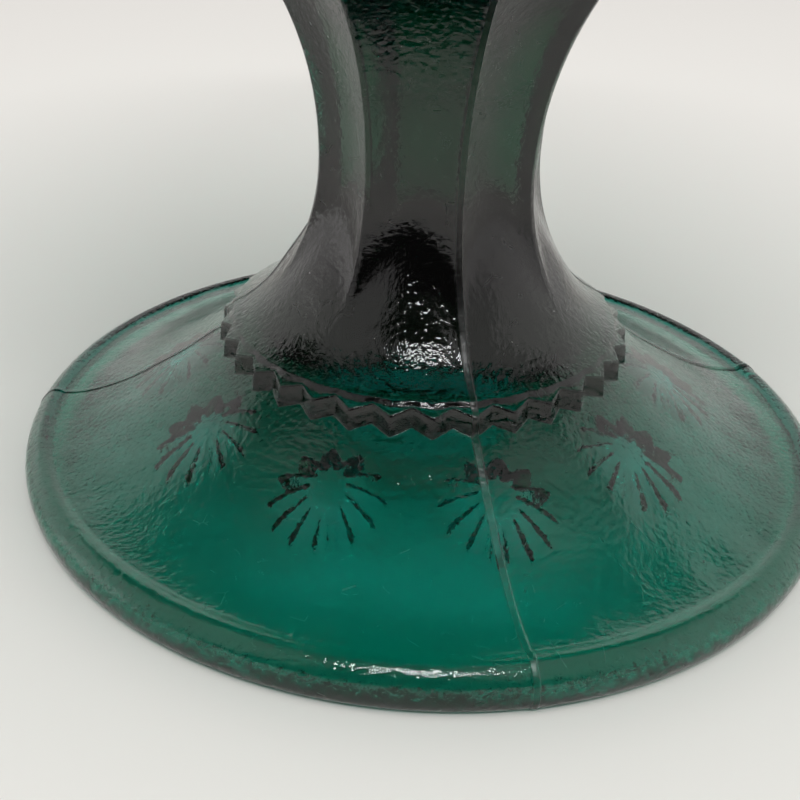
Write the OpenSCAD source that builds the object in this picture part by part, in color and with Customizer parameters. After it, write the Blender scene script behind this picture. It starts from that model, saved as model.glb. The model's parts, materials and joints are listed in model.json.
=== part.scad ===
// Footed pressed-glass flower bowl with a lift-out needle flower frog and its wire cage.
// Millimetres, +Z up. The origin is the middle of the foot, on the surface that it stands on.
// One ridge of the stem faces -Y.

/* [Foot] */
// Diameter of the round foot
foot_d = 114; // [90:1:140]
// Height of the rounded edge of the foot
foot_edge_h = 5.8; // [4.8:0.1:7]
// Height at which the slope of the foot meets the collar
foot_slope_h = 18.6; // [15:0.1:22]
// Width of the flat ring that the foot stands on
foot_ring_w = 3; // [2:0.5:6]
// Height of the hollow under the foot
foot_hollow_h = 15; // [11:0.5:16]

/* [Collar] */
// Diameter over the points of the toothed collar
collar_d = 56.4; // [50:0.2:66]
// Height of the toothed step
collar_h = 3.1; // [1.5:0.1:4]
// Depth of each tooth
tooth_depth = 1.4; // [1:0.1:2.2]
// Number of teeth round the collar
tooth_count = 34; // [24:2:48]

/* [Stem] */
// Diameter of the stem at its narrowest, over the ridges
waist_d = 29.2; // [24:0.2:36]
// Height of the narrowest place
waist_z = 44; // [40:0.5:48]
// Number of hollow panels round the stem
panel_count = 8; // [6:1:10]
// Depth of each panel below the ridges
panel_depth = 2.1; // [1:0.1:2.6]
// Height at which the stem opens into the bowl
neck_z = 68.5; // [66:0.5:74]
// Diameter of the stem there
neck_d = 44; // [38:1:52]

/* [Bowl] */
// Height of the glass over all
glass_h = 132; // [106:1:170]
// Diameter over the rim
rim_d = 151; // [124:1:190]
// Thickness of the glass at the rim
rim_wall = 4; // [3:0.2:6]
// Thickness of the glass in the side of the bowl
bowl_wall = 5.2; // [4:0.2:7]
// Height of the floor inside
floor_z = 84; // [82:0.5:90]
// Flat floor left free round the frog
floor_margin = 3.5; // [2:0.5:8]

/* [Frog base] */
// Diameter of the cast base
base_d = 58; // [44:1:70]
// Height of the cast base
base_h = 9; // [7:0.5:14]
// Chamfer on the edges of the base
base_edge = 0.8; // [0.4:0.1:1.2]
// Distance from the edge of the base to the rubber ring under it
pad_inset = 4; // [2:0.5:8]
// Width of the rubber ring
pad_w = 5; // [3:0.5:8]
// Thickness of the rubber ring
pad_h = 3; // [2:0.5:4]
// How far the rubber ring stands out below the base
pad_proud = 1.5; // [0.8:0.1:2]

/* [Needles] */
// Diameter of a needle
needle_d = 1.2; // [0.8:0.1:1.6]
// Length of a needle that stands above the base
needle_up = 12; // [8:0.5:18]
// Depth of a needle in the base
needle_sunk = 4; // [2.5:0.5:5]
// Length of the ground point
needle_point = 3; // [2:0.5:5]
// Distance from the outermost needles to the edge of the base
needle_margin = 9; // [7:0.5:12]

/* [Cage] */
// Free play between the cage's skirt and the base
cage_play = 0.3; // [0.2:0.1:0.8]
// Thickness of the skirt
skirt_t = 1.2; // [0.8:0.1:2]
// Height of the skirt beside the base
skirt_h = 5; // [3:0.5:7]
// Width of the lip that rests on the base
lip_w = 4; // [3.2:0.1:5]
// Thickness of the lip
lip_t = 1.6; // [1.2:0.1:3]
// Diameter of a post
post_d = 2; // [1.4:0.1:2.2]
// Clear height from the lip to the top ring
cage_clear_h = 30; // [22:1:50]
// Width of the top ring
top_ring_w = 3; // [2.6:0.1:4]
// Height of the top ring
top_ring_h = 6; // [5.6:0.1:9]
// Diameter of a grid wire
wire_d = 1.6; // [1:0.1:2]
// Distance from the outermost grid wire to the ring of posts
wire_margin = 6.5; // [4:0.5:10]
// Rise of the domed grid
dome_rise = 8; // [5:0.5:14]
// Diameter of the lifting knob
knob_d = 9; // [7:0.5:14]

/* [Hidden] */
$fn = 64;
eps = 0.01;
// Counts that go with the names in NODES
needle_rows = 4;
post_count = 6;
wires_each_way = 5;

foot_r = foot_d / 2;
ring_in_r = foot_r - 1.6 - foot_ring_w;
collar_r = collar_d / 2;
collar_root_r = collar_r - tooth_depth - 0.5;
collar_top_z = foot_slope_h + collar_h;
waist_r = waist_d / 2;
neck_r = neck_d / 2;
rim_r = rim_d / 2;
lip_r = rim_wall / 2;
base_r = base_d / 2;
pad_z = floor_z;
base_z = floor_z + pad_proud;
base_top = base_z + base_h;
needle_pitch = (base_r - needle_margin) / needle_rows;
skirt_in_r = base_r + cage_play;
skirt_out_r = skirt_in_r + skirt_t;
floor_r = skirt_out_r + floor_margin;
lip_in_r = skirt_out_r - lip_w;
post_ring_r = (skirt_out_r + lip_in_r) / 2;
wire_pitch = 2 * (post_ring_r - wire_margin) / (wires_each_way - 1);
lip_top = base_top + lip_t;
top_ring_z = lip_top + cage_clear_h;
top_ring_in = post_ring_r - top_ring_w / 2;
post_sunk = 1.5;
wire_end_z = top_ring_z + post_sunk + 0.3 + wire_d / 2;
dome_r = (pow(post_ring_r, 2) + pow(dome_rise, 2)) / (2 * dome_rise);
dome_z = wire_end_z + dome_rise - dome_r;
upper_dome_r = dome_r + wire_d + 0.02;
knob_z = dome_z + upper_dome_r;

// Points along a cubic curve, without its first point
function curve(a, b, c, d, n) = [
    for (i = [1:n]) let(t = i / n)
        pow(1 - t, 3) * a + 3 * t * pow(1 - t, 2) * b + 3 * t * t * (1 - t) * c + pow(t, 3) * d
];

// Underside of the foot, from the middle out to the ring that it stands on
function underside() = concat(
    [[0, foot_hollow_h], [foot_r * 0.24, foot_hollow_h]],
    curve([foot_r * 0.24, foot_hollow_h], [foot_r * 0.5, foot_hollow_h - 1],
          [foot_r * 0.667, 4.5], [ring_in_r - 1.2, 1.2], 8),
    [[ring_in_r, 0], [foot_r - 1.6, 0]]);

// Rounded edge and slope of the foot, up to the collar
function foot_side() = concat(
    curve([foot_r - 1.6, 0], [foot_r - 0.6, 0], [foot_r, 1], [foot_r, 2.4], 4),
    curve([foot_r, 2.4], [foot_r, foot_edge_h * 0.8],
          [foot_r - 0.8, foot_edge_h], [foot_r - 3, foot_edge_h], 5),
    curve([foot_r - 3, foot_edge_h], [foot_r * 0.8, foot_edge_h * 0.86],
          [collar_r + 5, foot_slope_h - 6], [collar_root_r, foot_slope_h + 0.5], 9));

// Bell, waist and neck of the stem
function stem_side() = concat(
    [[collar_root_r + 0.2, collar_top_z + 0.2]],
    curve([collar_root_r + 0.2, collar_top_z + 0.2], [waist_r + 5.4, collar_top_z + 3.6],
          [waist_r, waist_z - 10], [waist_r, waist_z], 9),
    curve([waist_r, waist_z], [waist_r, waist_z + 10],
          [neck_r - 4.5, neck_z - 6.5], [neck_r, neck_z], 9));

// Outside of the bowl, from the neck up and over the rim
belly_r = rim_r - 5.5;
belly_z = floor_z + (glass_h - floor_z) * 0.62;
function bowl_side() = concat(
    curve([neck_r, neck_z], [neck_r + 3.5, neck_z + 5],
          [neck_r + 10, floor_z - 6.5], [neck_r + 20, floor_z - 4.5], 6),
    curve([neck_r + 20, floor_z - 4.5], [rim_r - 13.5, floor_z - 0.5],
          [belly_r - 4, floor_z + (belly_z - floor_z) * 0.45], [belly_r, belly_z], 8),
    curve([belly_r, belly_z], [belly_r + 1.6, (belly_z * 2 + glass_h) / 3],
          [rim_r - 2, glass_h - 6], [rim_r, glass_h - lip_r], 5),
    [for (a = [30:30:180]) [rim_r - lip_r + lip_r * cos(a), glass_h - lip_r + lip_r * sin(a)]]);

// Inside of the bowl, from the rim down to the flat floor
inner_r = belly_r - bowl_wall;
function bowl_inside() = concat(
    curve([rim_r - rim_wall, glass_h - lip_r], [rim_r - rim_wall - 2, glass_h - 7],
          [inner_r + 1.4, (belly_z * 2 + glass_h) / 3], [inner_r, belly_z], 5),
    curve([inner_r, belly_z], [inner_r - 3, floor_z + (belly_z - floor_z) * 0.4],
          [floor_r + (inner_r - floor_r) * 0.55, floor_z], [floor_r, floor_z], 8),
    [[0, floor_z]]);

module glass_blank() {
    rotate_extrude($fn = 96)
        polygon(concat(underside(), foot_side(), stem_side(), bowl_side(), bowl_inside()));
}

// One hollow panel, cut by a ring that leans against the waist
module panel_cutter() {
    panel_r = 12;
    sweep_r = 31;
    translate([waist_r - panel_depth + sweep_r, 0, waist_z])
        rotate([90, 0, 0])
            rotate_extrude($fn = 72)
                translate([sweep_r - panel_r, 0])
                    circle(r = panel_r, $fn = 48);
}

module toothed_collar() {
    points = [
        for (i = [0:2 * tooth_count - 1])
            let(a = i * 180 / tooth_count - 90, r = collar_r - (i % 2) * tooth_depth)
                [r * cos(a), r * sin(a)]
    ];
    difference() {
        translate([0, 0, foot_slope_h - 1.5])
            linear_extrude(collar_h + 1.5)
                polygon(points);
        translate([0, 0, foot_slope_h - 2])
            cylinder(r = collar_root_r - 2, h = collar_h + 3);
    }
}

module glass_bowl() {
    color([0, 0.36, 0.29])
        union() {
            difference() {
                glass_blank();
                for (i = [0:panel_count - 1])
                    rotate([0, 0, -90 + (i + 0.5) * 360 / panel_count])
                        panel_cutter();
            }
            toothed_collar();
        }
}

// Needle places: row 0 is the middle one, and row k holds six times k
module each_needle(row) {
    count = row == 0 ? 1 : 6 * row;
    for (i = [0:count - 1])
        rotate([0, 0, (i + 0.5 * (row % 2)) * 360 / count])
            translate([row * needle_pitch, 0, base_top])
                children();
}

module frog_base() {
    color([0.33, 0.34, 0.35])
        difference() {
            translate([0, 0, base_z])
                rotate_extrude($fn = 96)
                    polygon([
                        [0, 0], [base_r - base_edge, 0], [base_r, base_edge],
                        [base_r, base_h - base_edge], [base_r - base_edge, base_h], [0, base_h]
                    ]);
            translate([0, 0, pad_z - eps])
                pad_shape(pad_h + eps);
            for (row = [0:needle_rows])
                each_needle(row)
                    translate([0, 0, -needle_sunk])
                        cylinder(d = needle_d, h = needle_sunk + 1, $fn = 16);
        }
}

module pad_shape(h) {
    difference() {
        cylinder(r = base_r - pad_inset, h = h, $fn = 96);
        translate([0, 0, -1])
            cylinder(r = base_r - pad_inset - pad_w, h = h + 2, $fn = 96);
    }
}

module rubber_ring() {
    color([0.08, 0.08, 0.08])
        translate([0, 0, pad_z])
            pad_shape(pad_h);
}

module needle_row(row) {
    color([0.8, 0.62, 0.28])
        each_needle(row) {
            translate([0, 0, -needle_sunk])
                cylinder(d = needle_d, h = needle_sunk + needle_up - needle_point, $fn = 16);
            translate([0, 0, needle_up - needle_point])
                cylinder(d1 = needle_d, d2 = 0.1, h = needle_point, $fn = 16);
        }
}

module each_post_place() {
    for (i = [1:post_count])
        rotate([0, 0, i * 360 / post_count - 90])
            translate([post_ring_r, 0, 0])
                children();
}

module cage_foot_ring() {
    color([0.78, 0.6, 0.3])
        difference() {
            rotate_extrude($fn = 96)
                polygon([
                    [lip_in_r, base_top], [skirt_in_r, base_top], [skirt_in_r, base_top - skirt_h],
                    [skirt_out_r, base_top - skirt_h], [skirt_out_r, lip_top], [lip_in_r, lip_top]
                ]);
            each_post_place()
                translate([0, 0, base_top - 1])
                    cylinder(d = post_d, h = lip_t + 2, $fn = 24);
        }
}

module cage_top_ring() {
    color([0.78, 0.6, 0.3])
        difference() {
            translate([0, 0, top_ring_z])
                difference() {
                    cylinder(r = top_ring_in + top_ring_w, h = top_ring_h, $fn = 96);
                    translate([0, 0, -1])
                        cylinder(r = top_ring_in, h = top_ring_h + 2, $fn = 96);
                }
            each_post_place()
                translate([0, 0, top_ring_z - 1])
                    cylinder(d = post_d, h = 1 + post_sunk, $fn = 24);
        }
}

module cage_post(i) {
    color([0.78, 0.6, 0.3])
        rotate([0, 0, i * 360 / post_count - 90])
            translate([post_ring_r, 0, base_top])
                cylinder(d = post_d, h = lip_t + cage_clear_h + post_sunk, $fn = 24);
}

// A wire bent over the dome, at a distance across from the middle, along X
module bent_wire(sphere_r, across) {
    bend_r = sqrt(pow(sphere_r, 2) - pow(across, 2));
    half = asin(sqrt(pow(post_ring_r, 2) - pow(across, 2)) / bend_r);
    translate([0, across, dome_z])
        rotate([90, 0, 0])
            rotate([0, 0, 90 - half])
                rotate_extrude(angle = 2 * half, $fn = 96)
                    translate([bend_r, 0])
                        circle(d = wire_d, $fn = 24);
}

function wire_place(i) = (i - (wires_each_way + 1) / 2) * wire_pitch;

module lower_wire(i) {
    color([0.78, 0.6, 0.3])
        bent_wire(dome_r, wire_place(i));
}

module upper_wire(i) {
    color([0.78, 0.6, 0.3])
        rotate([0, 0, 90])
            bent_wire(upper_dome_r, wire_place(i));
}

module lift_knob() {
    neck_h = 3.2;
    color([0.78, 0.6, 0.3])
        translate([0, 0, knob_z]) {
            cylinder(d = knob_d * 0.62, h = 1.2, $fn = 48);
            cylinder(d = knob_d * 0.4, h = neck_h + 1, $fn = 48);
            translate([0, 0, neck_h + knob_d * 0.4])
                sphere(d = knob_d, $fn = 48);
        }
}

glass_bowl();
frog_base();
rubber_ring();
needle_row(0);  // centre_needle
needle_row(1);  // needle_row_1
needle_row(2);  // needle_row_2
needle_row(3);  // needle_row_3
needle_row(4);  // needle_row_4
cage_foot_ring();
cage_top_ring();
cage_post(1);  // cage_post_1
cage_post(2);  // cage_post_2
cage_post(3);  // cage_post_3
cage_post(4);  // cage_post_4
cage_post(5);  // cage_post_5
cage_post(6);  // cage_post_6
lower_wire(1);  // lower_wire_1
lower_wire(2);  // lower_wire_2
lower_wire(3);  // lower_wire_3
lower_wire(4);  // lower_wire_4
lower_wire(5);  // lower_wire_5
upper_wire(1);  // upper_wire_1
upper_wire(2);  // upper_wire_2
upper_wire(3);  // upper_wire_3
upper_wire(4);  // upper_wire_4
upper_wire(5);  // upper_wire_5
lift_knob();
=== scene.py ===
import json
import math

import bpy
import numpy as np
from mathutils import Matrix, Vector


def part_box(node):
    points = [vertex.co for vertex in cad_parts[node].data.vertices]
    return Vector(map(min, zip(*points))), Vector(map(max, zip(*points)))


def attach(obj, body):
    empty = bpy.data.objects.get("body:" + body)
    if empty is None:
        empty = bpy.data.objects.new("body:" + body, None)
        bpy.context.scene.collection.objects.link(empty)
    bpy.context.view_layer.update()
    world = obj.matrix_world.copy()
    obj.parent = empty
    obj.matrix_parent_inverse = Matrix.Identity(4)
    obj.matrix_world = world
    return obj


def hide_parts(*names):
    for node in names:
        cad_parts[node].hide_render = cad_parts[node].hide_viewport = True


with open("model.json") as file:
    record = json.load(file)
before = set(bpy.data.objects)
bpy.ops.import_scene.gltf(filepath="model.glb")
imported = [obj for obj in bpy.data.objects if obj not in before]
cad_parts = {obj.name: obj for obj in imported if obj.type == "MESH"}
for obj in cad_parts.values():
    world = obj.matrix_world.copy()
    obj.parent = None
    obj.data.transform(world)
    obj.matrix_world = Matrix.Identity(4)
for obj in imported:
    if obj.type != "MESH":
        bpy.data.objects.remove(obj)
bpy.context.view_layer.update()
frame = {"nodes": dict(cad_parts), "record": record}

MM = 0.001

# ---------------------------------------------------------------- sizes of the glass, in millimetres

GLASS_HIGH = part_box("glass_bowl")[1]
RIM_R = GLASS_HIGH[0] / MM
GLASS_H = GLASS_HIGH[2] / MM
FLOOR_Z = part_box("rubber_ring")[0][2] / MM

# foot and collar
FOOT_R = 57.0
FOOT_EDGE_H = 5.8
SHOULDER_R = 55.0
SHOULDER_Z = 6.0
HOLLOW_H = 15.0
RING_IN_R = 52.4
COLLAR_R = 28.2
TOOTH_DEPTH = 1.4
TOOTH_COUNT = 34
COLLAR_LOW = 18.6
COLLAR_TOP = 21.7
ROOT_R = COLLAR_R - TOOTH_DEPTH - 0.5

# stem and its hollow panels
WAIST_R = 14.6
WAIST_Z = 44.0
PANELS = 8
PANEL_SAG = 0.8
PANEL_LOW = 29.0
PANEL_HIGH = 84.0
PANEL_FADE = 12.0
PANEL_END = 5.0
PANEL_ARCH = 4.0
RIDGE_LAND = 0.28
NECK_R = 22.0
NECK_Z = 68.5

# bowl
RIM_WALL = 4.0
BOWL_WALL = 5.2
FLOOR_R = 34.0

# the mould seams, in degrees round from -Y: half width, height, and the slight step beside one side
SEAMS = (0.0, -104.4, 95.4)
SEAM_HALF = 0.42
SEAM_H = 0.13
SEAM_STEP = 0.10

# how far the edge and the bowl's side, the slope, and the root of the stem lie inside the full sizes
EDGE_INSET = 0.45
SLOPE_INSET = 0.3
STEM_INSET = 0.2

# florets pressed into the underside: how many, where they lie, and the size of each
FLORETS = 10
FLORET_RING_R = 32.8
FLORET_TURN = 3.3
FLORET_R = 7.3
FLORET_DEEP = 2.75
FLORET_FLAT = 0.40
PETALS = 12
PETAL_CUT = 0.5
PETAL_REACH = 0.28


# ---------------------------------------------------------------- small helpers

def cubic(a, b, c, d, count):
    """count points along a cubic curve, without its first point."""
    t = np.linspace(0, 1, count + 1)[1:, None]
    a, b, c, d = (np.array(p, float) for p in (a, b, c, d))
    return a * (1 - t) ** 3 + 3 * b * t * (1 - t) ** 2 + 3 * c * t * t * (1 - t) + d * t ** 3


def smooth(edge0, edge1, x):
    """0 below edge0, 1 above edge1 and an S-shaped rise between them."""
    t = np.clip((x - edge0) / (edge1 - edge0), 0, 1)
    return t * t * (3 - 2 * t)


def turn(angle):
    """Degrees brought into -180 to 180."""
    return (angle + 180.0) % 360.0 - 180.0


def ripple(x, y, z, scale, seed, waves=14):
    """Smooth noise of about -1 to 1: a sum of seeded sine waves, scale millimetres long."""
    rng = np.random.default_rng(seed)
    total = np.zeros(np.broadcast(x, y, z).shape)
    for _ in range(waves):
        way = rng.normal(size=3)
        way *= 2 * math.pi / scale / np.linalg.norm(way) * rng.uniform(0.6, 1.5)
        total += np.sin(way[0] * x + way[1] * y + way[2] * z + rng.uniform(0, 2 * math.pi))
    return total / math.sqrt(waves)


def mesh_object(name, verts, faces, material):
    """A smooth-shaded object in metres, linked to the scene."""
    mesh = bpy.data.meshes.new(name)
    mesh.from_pydata([tuple(v) for v in verts], [], [tuple(f) for f in faces])
    mesh.materials.append(material)
    mesh.polygons.foreach_set("use_smooth", [True] * len(mesh.polygons))
    mesh.update()
    obj = bpy.data.objects.new(name, mesh)
    bpy.context.scene.collection.objects.link(obj)
    return obj


# ---------------------------------------------------------------- materials

class Nodes:
    """Makes a material's nodes in short calls."""

    def __init__(self, name):
        self.material = bpy.data.materials.new(name)
        self.material.use_nodes = True
        self.tree = self.material.node_tree
        self.tree.nodes.clear()
        self.output = self.tree.nodes.new("ShaderNodeOutputMaterial")

    def add(self, kind, **values):
        node = self.tree.nodes.new("ShaderNode" + kind)
        for key, value in values.items():
            if key in node.inputs:
                socket = node.inputs[key]
                if isinstance(value, bpy.types.NodeSocket):
                    self.tree.links.new(value, socket)
                else:
                    socket.default_value = value
            else:
                setattr(node, key, value)
        return node

    def link(self, a, b):
        self.tree.links.new(a, b)

    def ramp(self, factor, *stops):
        node = self.add("ValToRGB", Fac=factor)
        while len(node.color_ramp.elements) < len(stops):
            node.color_ramp.elements.new(0.5)
        for element, (position, value) in zip(node.color_ramp.elements, stops):
            element.position = position
            element.color = (*value, 1) if isinstance(value, tuple) else (value, value, value, 1)
        return node.outputs["Color"]

    def math(self, operation, a, b):
        node = self.add("Math", operation=operation)
        for socket, value in zip(node.inputs, (a, b)):
            if isinstance(value, bpy.types.NodeSocket):
                self.link(value, socket)
            else:
                socket.default_value = value
        return node.outputs[0]

    def place(self):
        return self.add("TexCoord").outputs["Object"]


def glass_material():
    """Pressed glass: dark teal all through, with the orange peel, specks and scratches of its skin."""
    n = Nodes("pressed_teal_glass")
    where = n.place()
    peel = n.add("TexNoise", Vector=where, Scale=1300.0, Detail=2.0, Roughness=0.5)
    flow = n.add("TexNoise", Vector=where, Scale=160.0, Detail=2.0, Roughness=0.5)
    specks = n.add("TexVoronoi", Vector=where, Scale=330.0)
    pits = n.ramp(specks.outputs["Distance"], (0.0, 0.0), (0.07, 1.0))
    cells = n.add("TexVoronoi", Vector=where, Scale=210.0, feature="DISTANCE_TO_EDGE")
    lines = n.ramp(cells.outputs["Distance"], (0.0, 1.0), (0.014, 0.0))
    patches = n.add("TexNoise", Vector=where, Scale=420.0, Detail=1.0)
    broken = n.ramp(patches.outputs["Fac"], (0.63, 0.0), (0.66, 1.0))
    scratches = n.math("MULTIPLY", lines, broken)
    seam = n.add("Attribute", attribute_name="seam").outputs["Fac"]
    bump_a = n.add("Bump", Height=flow.outputs["Fac"], Strength=0.12, Distance=0.0005)
    bump_b = n.add("Bump", Height=peel.outputs["Fac"], Strength=0.50, Distance=0.0002,
                   Normal=bump_a.outputs["Normal"])
    bump_c = n.add("Bump", Height=pits, Strength=0.35, Distance=0.0002,
                   Normal=bump_b.outputs["Normal"])
    smooth_skin = n.ramp(flow.outputs["Fac"], (0.3, 0.05), (0.7, 0.10))
    worn = n.math("MAXIMUM", n.math("MULTIPLY", scratches, 0.45), n.math("MULTIPLY", seam, 0.30))
    rough = n.math("MAXIMUM", smooth_skin, worn)
    glass = n.add("BsdfGlass", Color=(1, 1, 1, 1), Roughness=rough, IOR=1.52,
                  Normal=bump_c.outputs["Normal"])
    n.link(glass.outputs["BSDF"], n.output.inputs["Surface"])
    inside = n.add("VolumeAbsorption", Color=(0.0, 0.80, 0.745, 1), Density=700.0)
    n.link(inside.outputs["Volume"], n.output.inputs["Volume"])
    return n.material


def metal_material(name, colour, dark, rough=(0.18, 0.42), bump=0.15):
    """Metal with uneven tarnish and a fine grain."""
    n = Nodes(name)
    where = n.place()
    patches = n.add("TexNoise", Vector=where, Scale=260.0, Detail=6.0, Roughness=0.6)
    grain = n.add("TexNoise", Vector=where, Scale=2340.0, Detail=3.0, Roughness=0.6)
    tint = n.ramp(patches.outputs["Fac"], (0.35, dark), (0.62, colour))
    roughness = n.ramp(patches.outputs["Fac"], (0.3, rough[1]), (0.7, rough[0]))
    relief = n.add("Bump", Height=grain.outputs["Fac"], Strength=bump, Distance=0.0001)
    shader = n.add("BsdfPrincipled", Roughness=roughness, Normal=relief.outputs["Normal"],
                   Metallic=1.0)
    n.link(tint, shader.inputs["Base Color"])
    n.link(shader.outputs["BSDF"], n.output.inputs["Surface"])
    return n.material


def rubber_material():
    n = Nodes("black_rubber_ring")
    where = n.place()
    grain = n.add("TexNoise", Vector=where, Scale=2400.0, Detail=3.0)
    dust = n.add("TexNoise", Vector=where, Scale=180.0, Detail=5.0)
    tint = n.ramp(dust.outputs["Fac"], (0.4, (0.012, 0.012, 0.012)), (0.75, (0.05, 0.048, 0.045)))
    relief = n.add("Bump", Height=grain.outputs["Fac"], Strength=0.3, Distance=0.0001)
    shader = n.add("BsdfPrincipled", Roughness=0.75, Normal=relief.outputs["Normal"])
    n.link(tint, shader.inputs["Base Color"])
    n.link(shader.outputs["BSDF"], n.output.inputs["Surface"])
    return n.material


def floor_material():
    """Pale and matt near the object. Far off it carries a painted glow, an emission that stands in for light
    the far floor doesn't get, so that it runs into the pale horizon.
    """
    n = Nodes("pale_floor_painted_far_glow")
    shader = n.add("BsdfPrincipled", Roughness=0.9)
    shader.inputs["Base Color"].default_value = (0.78, 0.762, 0.73, 1)
    # painted glow: the floor itself emits light far from the object, in place of light falling there
    painted_far_glow = n.add("Emission", Strength=0.68)
    painted_far_glow.inputs["Color"].default_value = (1.0, 0.975, 0.96, 1)
    away = n.add("VectorMath", operation="LENGTH")
    n.link(n.place(), away.inputs[0])
    # mask of the painted glow: none near the object, full emission from 2.4 m away
    fade = n.add("MapRange", interpolation_type="SMOOTHSTEP")
    for name, value in (("From Min", 0.6), ("From Max", 2.4)):
        fade.inputs[name].default_value = value
    n.link(away.outputs["Value"], fade.inputs["Value"])
    mix = n.add("MixShader")
    n.link(fade.outputs["Result"], mix.inputs[0])
    n.link(shader.outputs["BSDF"], mix.inputs[1])
    n.link(painted_far_glow.outputs["Emission"], mix.inputs[2])
    n.link(mix.outputs["Shader"], n.output.inputs["Surface"])
    return n.material


# ---------------------------------------------------------------- the glass

def around():
    """Angles in degrees round from -Y. They meet every tooth, and lie closer beside the seams."""
    step = 180.0 / TOOTH_COUNT / 9
    even = np.arange(0, 360, step)
    beside = (0.12, 0.27, 0.39, 0.50, 0.62, 0.75, 0.90, 1.08)
    near = [seam + side * gap for seam in SEAMS for side in (-1, 1) for gap in beside]
    angles = np.concatenate([even, np.array(near) % 360])
    angles = np.unique(np.round(angles, 4))
    keep = np.concatenate([[True], np.diff(angles) > 0.05])
    return angles[keep]


def seam_strip(angle, radius):
    """1 on the flat top of a seam, 0 beside it."""
    total = np.zeros_like(angle * radius)
    for seam in SEAMS:
        off = np.abs(np.radians(turn(angle - seam)) * radius)
        total += 1 - smooth(SEAM_HALF - 0.08, SEAM_HALF + 0.10, off)
    return np.clip(total, 0, 1)


def seam_height(angle, radius):
    """Height of the seams over the glass: a flat raised strip, and a slight step beside it."""
    total = SEAM_H * seam_strip(angle, radius)
    for seam in SEAMS:
        off = np.radians(turn(angle - seam)) * radius
        total += SEAM_STEP * np.exp(-np.clip(off, 0, None) / 5.0) * smooth(-0.5, 0.3, off)
    return total


def panel_shape(angle):
    """(place across a panel from -1 to 1, radius of the flat side as a share of the ridge's)."""
    half = 180.0 / PANELS
    across = (angle % (2 * half)) - half
    flat = math.cos(math.radians(half)) / np.cos(np.radians(across))
    return across / half, flat


def panelled(radius, height, angle):
    """Radius with the hollow panels cut in between two heights, where they end in round arches."""
    across, flat = panel_shape(angle)
    crest = np.sqrt(across ** 2 + 0.002)
    sag = PANEL_SAG + 0.05 * (radius - WAIST_R)
    depth = radius * (1 - flat) + sag * np.clip(1 - crest ** 2, 0, None)
    depth = np.clip(depth - RIDGE_LAND, 0, None)
    arch = PANEL_ARCH * across ** 2
    lower = smooth(PANEL_LOW - arch, PANEL_LOW - arch + PANEL_FADE, height)
    upper = 1 - smooth(PANEL_HIGH - arch - PANEL_END, PANEL_HIGH - arch, height)
    return radius - depth * lower * upper


def tooth_edge(angle):
    """Radius of the toothed collar: a point at every whole tooth."""
    phase = (angle * TOOTH_COUNT / 360.0) % 1.0
    return COLLAR_R - TOOTH_DEPTH * (1 - np.abs(2 * phase - 1))


def floret(x, y):
    """Depth of a pressed floret: a star-shaped cone with a flat middle, and a groove along each petal."""
    ray = (np.degrees(np.arctan2(y, x)) * PETALS / 360.0) % 1.0
    petal = 1 - np.abs(2 * ray - 1)
    rho = np.hypot(x, y) / (FLORET_R * (1 - PETAL_REACH + PETAL_REACH * petal ** 0.8))
    along = np.clip((1 - rho) / (1 - FLORET_FLAT), 0, 1)
    cut = PETAL_CUT * petal * np.sin(math.pi * along)
    return FLORET_DEEP * along + cut


def florets_under(radius, angle):
    """How far the florets under the foot reach up into the glass."""
    step = 360.0 / FLORETS
    centre = np.round((angle - FLORET_TURN) / step) * step + FLORET_TURN
    off = np.radians(turn(angle - centre))
    across = radius * np.sin(off)
    along = radius * np.cos(off) - FLORET_RING_R
    return floret(across, along)


def slope_point(radius):
    """Height of the foot's slope at a radius."""
    line = np.vstack([[[FOOT_R - 3, FOOT_EDGE_H]], slope_curve(60)])
    return np.interp(radius, line[::-1, 0], line[::-1, 1])


def slope_curve(count):
    return cubic((FOOT_R - 3, FOOT_EDGE_H), (FOOT_R * 0.8, FOOT_EDGE_H * 0.86),
                 (COLLAR_R + 7, COLLAR_LOW - 5.3), (ROOT_R, COLLAR_LOW + 0.5),
                 count)


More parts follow.
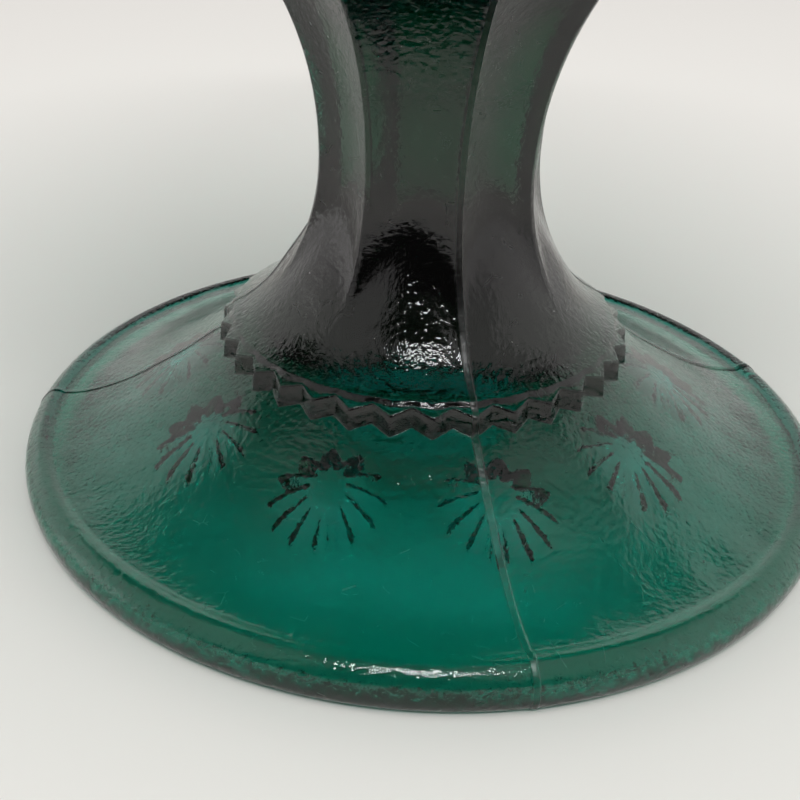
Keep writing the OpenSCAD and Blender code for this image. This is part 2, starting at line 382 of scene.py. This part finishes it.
def glass_rows(angle):
    """Rows of (radius, height) over all angles, from the underside out, up and in, and the rows with seams."""
    ones = np.ones_like(angle)
    rows = []

    def plain(points):
        for r, z in points:
            rows.append((r * ones, z * ones))

    # hollow under the foot
    plain([(r, HOLLOW_H) for r in (3.0, 7.0, 11.0, FOOT_R * 0.24)])
    under = np.vstack([[[FOOT_R * 0.24, HOLLOW_H]],
                       cubic((FOOT_R * 0.24, HOLLOW_H), (FOOT_R * 0.5, HOLLOW_H - 1),
                             (FOOT_R * 0.667, 4.0), (RING_IN_R, 0.3), 160)])
    radii = np.concatenate([np.linspace(15, 24.6, 9), np.arange(25.0, 41.0, 0.22),
                            np.linspace(41.4, RING_IN_R, 18)])
    for r in radii:
        z = np.interp(r, under[:, 0], under[:, 1])
        rows.append((r * ones, z + florets_under(r, angle)))
    plain([(RING_IN_R + 0.5, 0.12), (RING_IN_R + 0.9, 0.03)])
    plain([(r, 0.0) for r in np.linspace(RING_IN_R + 1.4, FOOT_R - 2.0, 3)])

    # rounded edge and slope of the foot, with the seams
    seams_from = len(rows)
    edge = np.vstack([[[FOOT_R - 1.6, 0.0]],
                      cubic((FOOT_R - 1.6, 0), (FOOT_R - 0.6, 0), (FOOT_R, 1), (FOOT_R, 2.4), 7),
                      cubic((FOOT_R, 2.4), (FOOT_R, 3.8), (FOOT_R - 0.7, 5.2), (SHOULDER_R, SHOULDER_Z), 10),
                      cubic((SHOULDER_R, SHOULDER_Z), (SHOULDER_R - 0.35, SHOULDER_Z + 0.22),
                            (SHOULDER_R - 0.7, SHOULDER_Z + 0.2), (FOOT_R - 3.4, FOOT_EDGE_H + 0.26), 6)])
    for r, z in edge:
        lift = seam_height(angle, r)
        lean = smooth(FOOT_EDGE_H * 0.5, FOOT_EDGE_H, z)
        rows.append((r - EDGE_INSET + lift * (1 - lean), z - SLOPE_INSET * lean + lift * lean))
    outer = COLLAR_R + 0.5
    for r in np.linspace(FOOT_R - 4.4, outer, 56):
        z = slope_point(r) - SLOPE_INSET * smooth(outer, outer + 6, r)
        x, y = r * np.cos(np.radians(angle)), r * np.sin(np.radians(angle))
        wave = 0.05 * ripple(x, y, 0 * angle, scale=9.0, seed=3)
        rows.append((r * ones, z + wave + seam_height(angle, r)))

    # toothed collar: upright faces, with tops that carry on the slope of the bell
    teeth = tooth_edge(angle)
    for share in (0.35, 0.7, 0.9, 1.0):
        r = outer + (teeth - outer) * share
        rows.append((r, slope_point(r) + seam_height(angle, r)))
    foot_of_wall = slope_point(teeth)
    top_of_wall = COLLAR_TOP - 0.55 * (teeth - ROOT_R)
    for share in (0.06, 0.3, 0.6, 0.9):
        rows.append((teeth - 0.2 * share, foot_of_wall + (top_of_wall - foot_of_wall) * share))
    rows.append((teeth - 0.30, top_of_wall + 0.02))
    for share in (0.2, 0.45, 0.75):
        r = teeth - 0.3 + (ROOT_R - 0.1 - teeth + 0.3) * share
        rows.append((r, top_of_wall + (COLLAR_TOP + 0.05 - top_of_wall) * share - 0.06
                     + seam_height(angle, r) * share))

    # bell, waist and neck of the stem, with its hollow panels
    stem = np.vstack([
        [[ROOT_R + 0.2, COLLAR_TOP + 0.2]],
        cubic((ROOT_R + 0.2, COLLAR_TOP + 0.2), (WAIST_R + 5.4, COLLAR_TOP + 3.6), (WAIST_R, WAIST_Z - 10),
              (WAIST_R, WAIST_Z), 64),
        cubic((WAIST_R, WAIST_Z), (WAIST_R, WAIST_Z + 10), (NECK_R - 4.5, NECK_Z - 6.5),
              (NECK_R, NECK_Z), 40),
        cubic((NECK_R, NECK_Z), (NECK_R + 3.5, NECK_Z + 5), (NECK_R + 10, FLOOR_Z - 6.5),
              (NECK_R + 20, FLOOR_Z - 4.5), 26)])
    for r, z in stem:
        inset = STEM_INSET - 0.3 * smooth(24, 30, z)
        rows.append((panelled(r, z, angle) - inset + seam_height(angle, r), z * ones))

    # side of the bowl, over the rim and down to the floor
    belly = (RIM_R - 5.5, FLOOR_Z + (GLASS_H - FLOOR_Z) * 0.62)
    side = np.vstack([
        cubic((NECK_R + 20, FLOOR_Z - 4.5), (RIM_R - 13.5, FLOOR_Z - 0.5),
              (belly[0] - 4, FLOOR_Z + (belly[1] - FLOOR_Z) * 0.45), belly, 50),
        cubic(belly, (belly[0] + 1.6, (belly[1] * 2 + GLASS_H) / 3), (RIM_R - 2, GLASS_H - 6),
              (RIM_R, GLASS_H - RIM_WALL / 2), 20)])
    for r, z in side:
        fading = 1 - smooth(GLASS_H - 8, GLASS_H - 3, z)
        rows.append((r - EDGE_INSET + seam_height(angle, r) * fading, z * ones))
    seams_to = len(rows)
    lip = RIM_WALL / 2
    plain([(RIM_R - lip + lip * math.cos(a), GLASS_H - lip + lip * math.sin(a))
           for a in np.radians(np.arange(15, 181, 15))])
    inner = belly[0] - BOWL_WALL
    plain(cubic((RIM_R - RIM_WALL, GLASS_H - lip), (RIM_R - RIM_WALL - 2, GLASS_H - 7),
                (inner + 1.4, (belly[1] * 2 + GLASS_H) / 3), (inner, belly[1]), 12))
    plain(cubic((inner, belly[1]), (inner - 3, FLOOR_Z + (belly[1] - FLOOR_Z) * 0.4),
                (FLOOR_R + (inner - FLOOR_R) * 0.55, FLOOR_Z), (FLOOR_R, FLOOR_Z), 26))
    plain([(r, FLOOR_Z) for r in (28.0, 20.0, 12.0, 4.0)])
    return rows, (seams_from, seams_to)


def glass_piece(material):
    """The whole glass as one closed skin: the rows joined by quads and capped at both middles."""
    angle = around()
    rows, outside = glass_rows(angle)
    count = len(angle)
    turned = np.radians(angle) - math.pi / 2
    grid = []
    for r, z in rows:
        grid.append(np.stack([r * np.cos(turned), r * np.sin(turned), z + 0 * turned], -1))
    verts = np.vstack(grid + [[[0, 0, HOLLOW_H]], [[0, 0, FLOOR_Z]]]) * MM
    here = np.arange(count)
    after = (here + 1) % count
    faces = []
    for i in range(len(rows) - 1):
        a, b = i * count, (i + 1) * count
        faces.append(np.stack([a + here, a + after, b + after, b + here], -1))
    quads = np.vstack(faces).tolist()
    first, last = len(verts) - 2, len(verts) - 1
    top = (len(rows) - 1) * count
    caps = [(first, b, a) for a, b in zip(here.tolist(), after.tolist())]
    caps += [(last, top + a, top + b) for a, b in zip(here.tolist(), after.tolist())]
    piece = mesh_object("pressed_glass_bowl", verts, quads + caps, material)
    strip = np.zeros(len(verts))
    for i in range(*outside):
        strip[i * count:(i + 1) * count] = seam_strip(angle, rows[i][0])
    piece.data.attributes.new("seam", "FLOAT", "POINT").data.foreach_set("value", strip)
    return piece


glass = glass_piece(glass_material())
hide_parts("glass_bowl")
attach(glass, "bowl")


# ---------------------------------------------------------------- the frog and its cage

def repaint(names, material):
    """Gives the frame's own nodes a material."""
    for name in names:
        node = frame["nodes"][name]
        node.data.materials.clear()
        node.data.materials.append(material)


bodies = frame["record"]["behaviour"]["bodies"]
cage_brass = metal_material("cage_brass", (0.80, 0.60, 0.26), (0.42, 0.27, 0.10))
needle_brass = metal_material("needle_brass", (0.86, 0.68, 0.34), (0.55, 0.38, 0.16), rough=(0.14, 0.3))
cast_lead = metal_material("cast_lead", (0.26, 0.27, 0.28), (0.12, 0.12, 0.125), rough=(0.4, 0.65),
                           bump=0.5)
repaint(bodies["cage"], cage_brass)
repaint([n for n in bodies["frog"] if "needle" in n], needle_brass)
repaint(["frog_base"], cast_lead)
repaint(["rubber_ring"], rubber_material())


def turned_solid(profile, sides=20):
    """Vertices and faces of a closed ring that is turned about Z from (radius, height) corners."""
    verts = [(r * math.cos(2 * math.pi * k / sides), r * math.sin(2 * math.pi * k / sides), z)
             for k in range(sides) for r, z in profile]
    n = len(profile)
    faces = [(k * n + i, (k + 1) % sides * n + i, (k + 1) % sides * n + (i + 1) % n, k * n + (i + 1) % n)
             for k in range(sides) for i in range(n)]
    return np.array(verts), faces


def bead_solid(wide, high, rings=7, sides=14):
    """Vertices and faces of a flattened bead."""
    verts = [(0, 0, -high)]
    for i in range(1, rings):
        a = math.pi * i / rings
        verts += [(wide * math.sin(a) * math.cos(2 * math.pi * k / sides),
                   wide * math.sin(a) * math.sin(2 * math.pi * k / sides), -high * math.cos(a))
                  for k in range(sides)]
    verts.append((0, 0, high))
    last = len(verts) - 1
    faces = [(0, 1 + (k + 1) % sides, 1 + k) for k in range(sides)]
    for i in range(rings - 2):
        a, b = 1 + i * sides, 1 + (i + 1) * sides
        faces += [(a + k, a + (k + 1) % sides, b + (k + 1) % sides, b + k) for k in range(sides)]
    top = 1 + (rings - 2) * sides
    faces += [(last, top + k, top + (k + 1) % sides) for k in range(sides)]
    return np.array(verts), faces


GRID_WIRES = 5
POSTS = 6


def solder(material):
    """Beads where the grid wires cross, and fillets at both ends of each post."""
    low, high = (np.array(corner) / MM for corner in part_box("lower_wire_3"))
    wire_r = (high[1] - low[1]) / 2
    wire_boxes = [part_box("lower_wire_%d" % i) for i in range(1, GRID_WIRES + 1)]
    wire_xy = [(corners[0][1] + corners[1][1]) / 2 / MM for corners in wire_boxes]
    reach = (high[0] - low[0]) / 2 - wire_r
    rise = high[2] - low[2] - 2 * wire_r
    dome_r = (reach ** 2 + rise ** 2) / (2 * rise)
    dome_z = high[2] - wire_r - dome_r
    rng = np.random.default_rng(5)
    verts, faces = [], []

    def put(solid, turn_matrix, place):
        points, sides = solid
        start = sum(len(v) for v in verts)
        verts.append(points @ turn_matrix.T + place)
        faces.extend(tuple(start + k for k in side) for side in sides)

    for x in wire_xy:
        for y in wire_xy:
            if math.hypot(x, y) > reach - 1:
                continue
            middle = dome_r + wire_r
            spot = np.array((x, y, math.sqrt(dome_r ** 2 - x * x - y * y))) / dome_r
            up = Vector(spot).to_track_quat("Z", "Y").to_matrix()
            size = rng.uniform(0.92, 1.12)
            put(bead_solid(1.35 * wire_r * size, 1.05 * wire_r * size), np.array(up),
                spot * middle + (0, 0, dome_z))
    # corners (radius, height) of the fillet round the end of a post
    fillet = [(0.85, 0), (1.75, 0), (1.35, 0.22), (1.12, 0.6), (1.02, 1.0), (0.85, 1.05)]
    lip_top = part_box("cage_foot_ring")[1][2] / MM
    ring_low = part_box("cage_top_ring")[0][2] / MM
    for i in range(1, POSTS + 1):
        corners = np.array(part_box("cage_post_%d" % i)) / MM
        x, y = (corners[0] + corners[1])[:2] / 2
        put(turned_solid(fillet), np.eye(3), (x, y, lip_top - 0.02))
        put(turned_solid([(r, -z) for r, z in reversed(fillet)]), np.eye(3), (x, y, ring_low + 0.02))
    piece = mesh_object("cage_solder", np.vstack(verts) * MM, faces, material)
    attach(piece, "cage")


solder(metal_material("solder", (0.50, 0.50, 0.49), (0.30, 0.29, 0.27), rough=(0.25, 0.4)))


# ---------------------------------------------------------------- floor, light and camera

# the floor lies a hair under the foot, so that the two faces don't coincide
FLOOR_Z_M = -0.00025
CEILING_LIGHT = 0.045


def floor():
    half = 12.0
    corners = [(x * half, y * half, FLOOR_Z_M) for x, y in ((-1, -1), (1, -1), (1, 1), (-1, 1))]
    plane = mesh_object("floor", corners, [(0, 1, 2, 3)], floor_material())


def softbox(name, place, size, power, shines=True):
    """A rectangular light that points at the origin. One that doesn't shine leaves no reflection."""
    data = bpy.data.lights.new(name, "AREA")
    data.shape = "RECTANGLE"
    data.size, data.size_y = size
    data.energy = power
    obj = bpy.data.objects.new(name, data)
    obj.location = place
    obj.rotation_euler = (-Vector(place)).to_track_quat("-Z", "Y").to_euler()
    obj.visible_glossy = shines
    bpy.context.scene.collection.objects.link(obj)


def sky():
    """A studio with a pale backdrop behind and at the sides, and a dim ceiling and front."""
    world = bpy.data.worlds.new("studio")
    world.use_nodes = True
    bpy.context.scene.world = world
    tree = world.node_tree

    def node(kind, **values):
        made = tree.nodes.new("ShaderNode" + kind)
        for key, value in values.items():
            setattr(made, key, value)
        return made

    def towards(degrees):
        """How far a direction lies towards a compass bearing, counted from -Y through +X."""
        dot = node("VectorMath", operation="DOT_PRODUCT")
        turned = math.radians(degrees)
        dot.inputs[1].default_value = (math.sin(turned), -math.cos(turned), 0)
        tree.links.new(level.outputs[0], dot.inputs[0])
        return dot.outputs["Value"]

    def fade(value, low, high, start, end):
        step = node("MapRange", interpolation_type="SMOOTHSTEP")
        for socket, number in zip(step.inputs[1:5], (low, high, start, end)):
            socket.default_value = number
        tree.links.new(value, step.inputs[0])
        return step.outputs[0]

    def both(operation, a, b):
        made = node("Math", operation=operation)
        for socket, value in zip(made.inputs, (a, b)):
            if isinstance(value, float):
                socket.default_value = value
            else:
                tree.links.new(value, socket)
        return made.outputs[0]

    where = node("TexCoord").outputs["Generated"]
    split = node("SeparateXYZ")
    tree.links.new(where, split.inputs[0])
    flat = node("VectorMath", operation="MULTIPLY")
    flat.inputs[1].default_value = (1, 1, 0)
    tree.links.new(where, flat.inputs[0])
    level = node("VectorMath", operation="NORMALIZE")
    tree.links.new(flat.outputs[0], level.inputs[0])

    def lobe(bearing, up, outer, inner, strength):
        """A soft round patch of light at a bearing and a height, both in degrees."""
        dot = node("VectorMath", operation="DOT_PRODUCT")
        turned, raised = math.radians(bearing), math.radians(up)
        dot.inputs[1].default_value = (math.sin(turned) * math.cos(raised),
                                       -math.cos(turned) * math.cos(raised), math.sin(raised))
        tree.links.new(where, dot.inputs[0])
        return fade(dot.outputs["Value"], math.cos(math.radians(outer)), math.cos(math.radians(inner)),
                    0.0, strength)

    # the backdrop ends at this height of the view direction, a little higher towards one side
    backdrop_top = both("ADD", both("MULTIPLY", towards(135), 0.06), 0.655)
    over = both("SUBTRACT", split.outputs["Z"], backdrop_top)
    backdrop = both("MULTIPLY", fade(over, -0.06, 0.06, 1.0, 0.0), fade(towards(160), -0.85, -0.2, 0.0, 1.0))
    horizon = fade(split.outputs["Z"], 0.06, 0.16, 0.85, 0.0)
    windows = both("MAXIMUM", lobe(48, 44, 34, 20, 0.65), lobe(-75, 40, 30, 16, 0.7))
    windows = both("MAXIMUM", windows, lobe(-104, 4, 24, 12, 1.6))
    pale = both("MAXIMUM", both("MAXIMUM", backdrop, horizon), windows)
    level_of_light = both("MAXIMUM", pale, CEILING_LIGHT)
    background = tree.nodes["Background"]
    background.inputs["Color"].default_value = (1.0, 0.975, 0.96, 1)
    tree.links.new(level_of_light, background.inputs["Strength"])


def camera():
    """The photograph's view: about one and a half foot widths away, from 32 degrees up."""
    azimuth, elevation, away = math.radians(-15.1), math.radians(31.9), 0.1755
    pan, tilt, roll = math.radians(-5.58), math.radians(0.23), math.radians(3.44)
    data = bpy.data.cameras.new("camera")
    data.sensor_width = 36
    data.lens = 52.65
    data.shift_x = 0.125
    data.shift_y = 0.0375
    data.clip_start = 0.01
    obj = bpy.data.objects.new("camera", data)
    bpy.context.scene.collection.objects.link(obj)
    back = Vector((math.sin(azimuth) * math.cos(elevation), -math.cos(azimuth) * math.cos(elevation),
                   math.sin(elevation)))
    look = (-back).to_track_quat("-Z", "Y").to_matrix()
    look = look @ Matrix.Rotation(-pan, 3, "Y") @ Matrix.Rotation(tilt, 3, "X")
    look = look @ Matrix.Rotation(roll, 3, "Z")
    obj.matrix_world = Matrix.Translation(back * away) @ look.to_4x4()
    bpy.context.scene.camera = obj


floor()
sky()
softbox("key", (-0.09, -0.51, 0.71), (0.42, 0.07), 2.0)
softbox("overhead", (0, -0.25, 1.3), (1.4, 1.4), 12.5, shines=False)
bpy.context.scene.view_settings.view_transform = "Standard"
camera()
